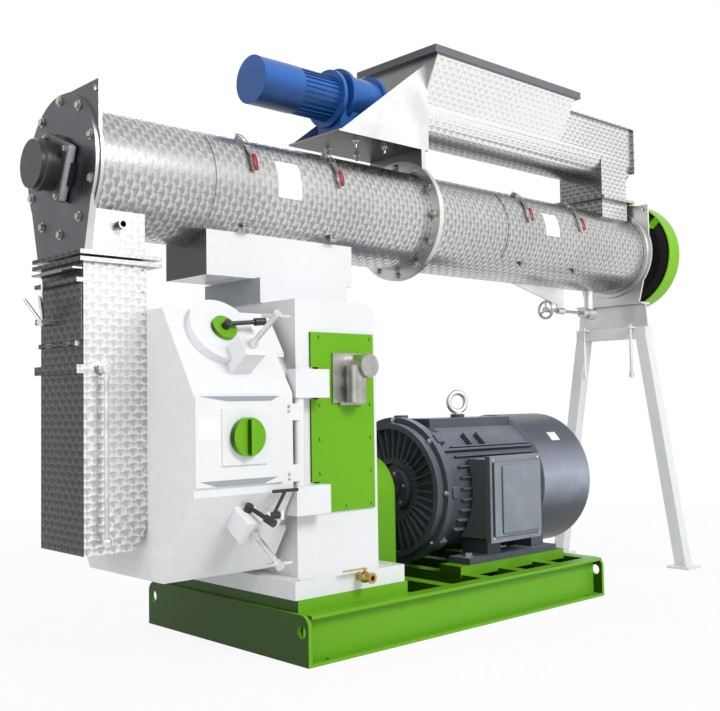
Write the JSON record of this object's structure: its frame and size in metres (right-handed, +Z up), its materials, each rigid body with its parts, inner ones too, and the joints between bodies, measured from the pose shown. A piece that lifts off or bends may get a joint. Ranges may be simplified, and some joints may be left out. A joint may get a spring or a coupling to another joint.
{
  "type": "feed pellet mill",
  "caption": "Pellet mill on a green base: ring die press behind a swinging door, stainless conditioner drum and screw feeder on top, large motor beside the gearbox.",
  "frame": {"origin": "centre of the base frame's footprint, on the floor", "axes": "+X from the press door to the drive motor, +Y away from the side with the door hinge, +Z up"},
  "size_m": [3.76, 1.1618, 2.525],
  "materials": {
    "frame_paint": "gloss green paint on steel plate and channel",
    "white_paint": "gloss white paint on castings and plate",
    "guard_paint": "bright green paint on sheet guards",
    "motor_paint": "dark grey-blue satin paint on cast iron",
    "box_paint": "lighter grey paint on the terminal box",
    "blue_paint": "blue paint on the geared motor",
    "turned_stainless": "stainless sheet with an overlapping round polishing pattern",
    "plain_stainless": "plain brushed stainless steel",
    "machined_steel": "machined steel, lightly oiled",
    "cast_dark": "dark cast iron with a thin black coat",
    "black_plastic": "matte black plastic grips",
    "red_handle": "red dipped latch handles",
    "brass": "bare brass valve",
    "grey_end": "dark grey painted end plates"
  },
  "bodies": {
    "frame": {"base_frame": "frame_paint", "base_deck": "frame_paint", "lifting_eye": "plain_stainless", "gearbox_housing": "white_paint", "gearbox_covers": "frame_paint", "oil_pump": "plain_stainless", "drain_valve": "brass", "door_hinge_bracket": "white_paint", "drum_saddle": "white_paint", "motor_frame": "motor_paint", "motor_bell": "motor_paint", "motor_fan_cover": "motor_paint", "motor_terminal_box": "box_paint", "coupling_guard": "guard_paint", "conditioner_drum": "turned_stainless", "drum_left_end": "grey_end", "drum_right_end": "grey_end", "conditioner_bearings": "cast_dark", "support_bracket": "plain_stainless", "support_legs": "white_paint", "outlet_throat": "turned_stainless", "feeder_trough": "turned_stainless", "feeder_base": "plain_stainless", "inlet_spout": "plain_stainless", "feeder_gearmotor": "blue_paint", "pulley_guard": "guard_paint", "main_shaft": "machined_steel", "steam_valve": "plain_stainless"},
    "die_rotor": {"hollow_shaft": "machined_steel", "main_gear": "machined_steel", "ring_die": "machined_steel"},
    "motor_drive": {"pinion_shaft": "machined_steel", "motor_rotor": "machined_steel"},
    "roller_upper": {"press_roller_upper": "machined_steel"},
    "roller_lower": {"press_roller_lower": "machined_steel"},
    "paddle_rotor": {"conditioner_shaft": "plain_stainless", "conditioner_pulley": "cast_dark"},
    "feed_screw": {"feeder_screw": "plain_stainless"},
    "door": {"door_casing": "white_paint", "feed_chute": "turned_stainless"},
    "knob": {"door_knob": "guard_paint"},
    "screw_upper": {"knife_screw_upper": "machined_steel"},
    "screw_lower": {"knife_screw_lower": "machined_steel"},
    "blade_upper": {"knife_upper": "machined_steel"},
    "blade_lower": {"knife_lower": "machined_steel"},
    "lever_upper": {"clamp_lever_upper": "black_plastic"},
    "lever_lower": {"clamp_lever_lower": "black_plastic"},
    "bolt": {"swing_bolt": "machined_steel"},
    "flap": {"chute_lever": "plain_stainless"},
    "hatch": {"chute_door": "turned_stainless"},
    "hatch_clamp": {"chute_clamp": "plain_stainless"},
    "gate": {"slide_gate": "plain_stainless"},
    "drum_hatch_left": {"drum_door_left": "turned_stainless"},
    "drum_hatch_right": {"drum_door_right": "turned_stainless"},
    "catch_left_1": {"latch_left_1": "red_handle"},
    "catch_left_2": {"latch_left_2": "red_handle"},
    "catch_right_1": {"latch_right_1": "red_handle"},
    "catch_right_2": {"latch_right_2": "red_handle"},
    "wheel": {"handwheel": "plain_stainless"},
    "drain": {"drain_lever": "brass"}
  },
  "joints": [
    {"name": "die_spin", "type": "hinge", "parent": "frame", "child": "die_rotor", "pos_m": [-0.9, 0, 0.8045], "axis": [1, 0, 0], "continuous": true},
    {"name": "motor_spin", "type": "hinge", "parent": "frame", "child": "motor_drive", "pos_m": [-0.2, 0, 0.527], "axis": [1, 0, 0], "continuous": true},
    {"name": "roller_upper_spin", "type": "hinge", "parent": "frame", "child": "roller_upper", "pos_m": [-1.1, 0, 0.919], "axis": [1, 0, 0], "continuous": true},
    {"name": "roller_lower_spin", "type": "hinge", "parent": "frame", "child": "roller_lower", "pos_m": [-1.1, 0, 0.69], "axis": [1, 0, 0], "continuous": true},
    {"name": "paddle_spin", "type": "hinge", "parent": "frame", "child": "paddle_rotor", "pos_m": [0, 0, 1.758], "axis": [1, 0, 0], "continuous": true},
    {"name": "screw_spin", "type": "hinge", "parent": "frame", "child": "feed_screw", "pos_m": [0, 0, 2.282], "axis": [1, 0, 0], "continuous": true},
    {"name": "door_swing", "type": "hinge", "parent": "frame", "child": "door", "pos_m": [-0.856, -0.43, 0.8], "axis": [0, 0, 1], "range_deg": [0, 95]},
    {"name": "knob_turn", "type": "hinge", "parent": "door", "child": "knob", "pos_m": [-1.12, -0.483, 0.812], "axis": [0, 1, 0], "range_deg": [0, 90]},
    {"name": "knife_screw_upper_turn", "type": "hinge", "parent": "door", "child": "screw_upper", "pos_m": [-1.097, -0.41452, 1.0841], "axis": [0, -0.829, 0.5592], "range_deg": [0, 1800]},
    {"name": "knife_screw_lower_turn", "type": "hinge", "parent": "door", "child": "screw_lower", "pos_m": [-1.097, -0.41452, 0.5249], "axis": [0, -0.829, -0.5592], "range_deg": [0, 1800]},
    {"name": "knife_upper_slide", "type": "slide", "parent": "door", "child": "blade_upper", "axis": [0, -0.829, 0.5592], "range_m": [0, 0.025]},
    {"name": "knife_lower_slide", "type": "slide", "parent": "door", "child": "blade_lower", "axis": [0, -0.829, -0.5592], "range_m": [0, 0.025]},
    {"name": "clamp_upper_turn", "type": "hinge", "parent": "door", "child": "lever_upper", "pos_m": [-1.125, -0.317, 1.17], "axis": [0, -0.8448, 0.5351], "range_deg": [-35, 60]},
    {"name": "clamp_lower_turn", "type": "hinge", "parent": "door", "child": "lever_lower", "pos_m": [-1.097, -0.44215, 0.55693], "axis": [0, -0.5592, 0.829], "range_deg": [-50, 30]},
    {"name": "bolt_swing", "type": "hinge", "parent": "door", "child": "bolt", "pos_m": [-1.01, -0.472, 0.535], "axis": [1, 0, 0], "range_deg": [0, 90]},
    {"name": "flap_turn", "type": "hinge", "parent": "door", "child": "flap", "pos_m": [-1.496, 0, 1.051], "axis": [0, 1, 0], "range_deg": [-5, 28]},
    {"name": "hatch_swing", "type": "hinge", "parent": "door", "child": "hatch", "pos_m": [-1.574, 0, 1.137], "axis": [0, -1, 0], "range_deg": [0, 100]},
    {"name": "hatch_clamp_swing", "type": "hinge", "parent": "hatch", "child": "hatch_clamp", "pos_m": [-1.594, 0.084, 1.222], "axis": [0, -1, 0], "range_deg": [0, 90]},
    {"name": "gate_slide", "type": "slide", "parent": "door", "child": "gate", "axis": [-1, 0, 0], "range_m": [0, 0.22]},
    {"name": "drum_hatch_left_swing", "type": "hinge", "parent": "frame", "child": "drum_hatch_left", "pos_m": [-0.672, -0.17191, 1.59486], "axis": [1, 0, 0], "range_deg": [0, 110]},
    {"name": "drum_hatch_right_swing", "type": "hinge", "parent": "frame", "child": "drum_hatch_right", "pos_m": [1.026, -0.17191, 1.59486], "axis": [1, 0, 0], "range_deg": [0, 110]},
    {"name": "catch_left_1_swing", "type": "hinge", "parent": "drum_hatch_left", "child": "catch_left_1", "pos_m": [-0.89152, -0.17792, 1.91267], "axis": [-1, 0, 0], "range_deg": [0, 110]},
    {"name": "catch_left_2_swing", "type": "hinge", "parent": "drum_hatch_left", "child": "catch_left_2", "pos_m": [-0.45248, -0.17792, 1.91267], "axis": [-1, 0, 0], "range_deg": [0, 110]},
    {"name": "catch_right_1_swing", "type": "hinge", "parent": "drum_hatch_right", "child": "catch_right_1", "pos_m": [0.80536, -0.17792, 1.91267], "axis": [-1, 0, 0], "range_deg": [0, 110]},
    {"name": "catch_right_2_swing", "type": "hinge", "parent": "drum_hatch_right", "child": "catch_right_2", "pos_m": [1.24664, -0.17792, 1.91267], "axis": [-1, 0, 0], "range_deg": [0, 110]},
    {"name": "wheel_turn", "type": "hinge", "parent": "frame", "child": "wheel", "pos_m": [1.217, 0, 1.407], "axis": [1, 0, 0], "range_deg": [0, 1440]},
    {"name": "drain_turn", "type": "hinge", "parent": "frame", "child": "drain", "pos_m": [-0.593, -0.487, 0.2725], "axis": [0, 0, 1], "range_deg": [0, 90]}
  ],
  "couplings": [
    {"joint": "motor_spin", "follows": "die_spin", "ratio": -4.55},
    {"joint": "roller_upper_spin", "follows": "die_spin", "ratio": 2.2105},
    {"joint": "roller_lower_spin", "follows": "die_spin", "ratio": 2.2105},
    {"joint": "knife_screw_upper_turn", "follows": "knife_upper_slide", "rad_per_m": 1256.6},
    {"joint": "knife_screw_lower_turn", "follows": "knife_lower_slide", "rad_per_m": 1256.6}
  ]
}
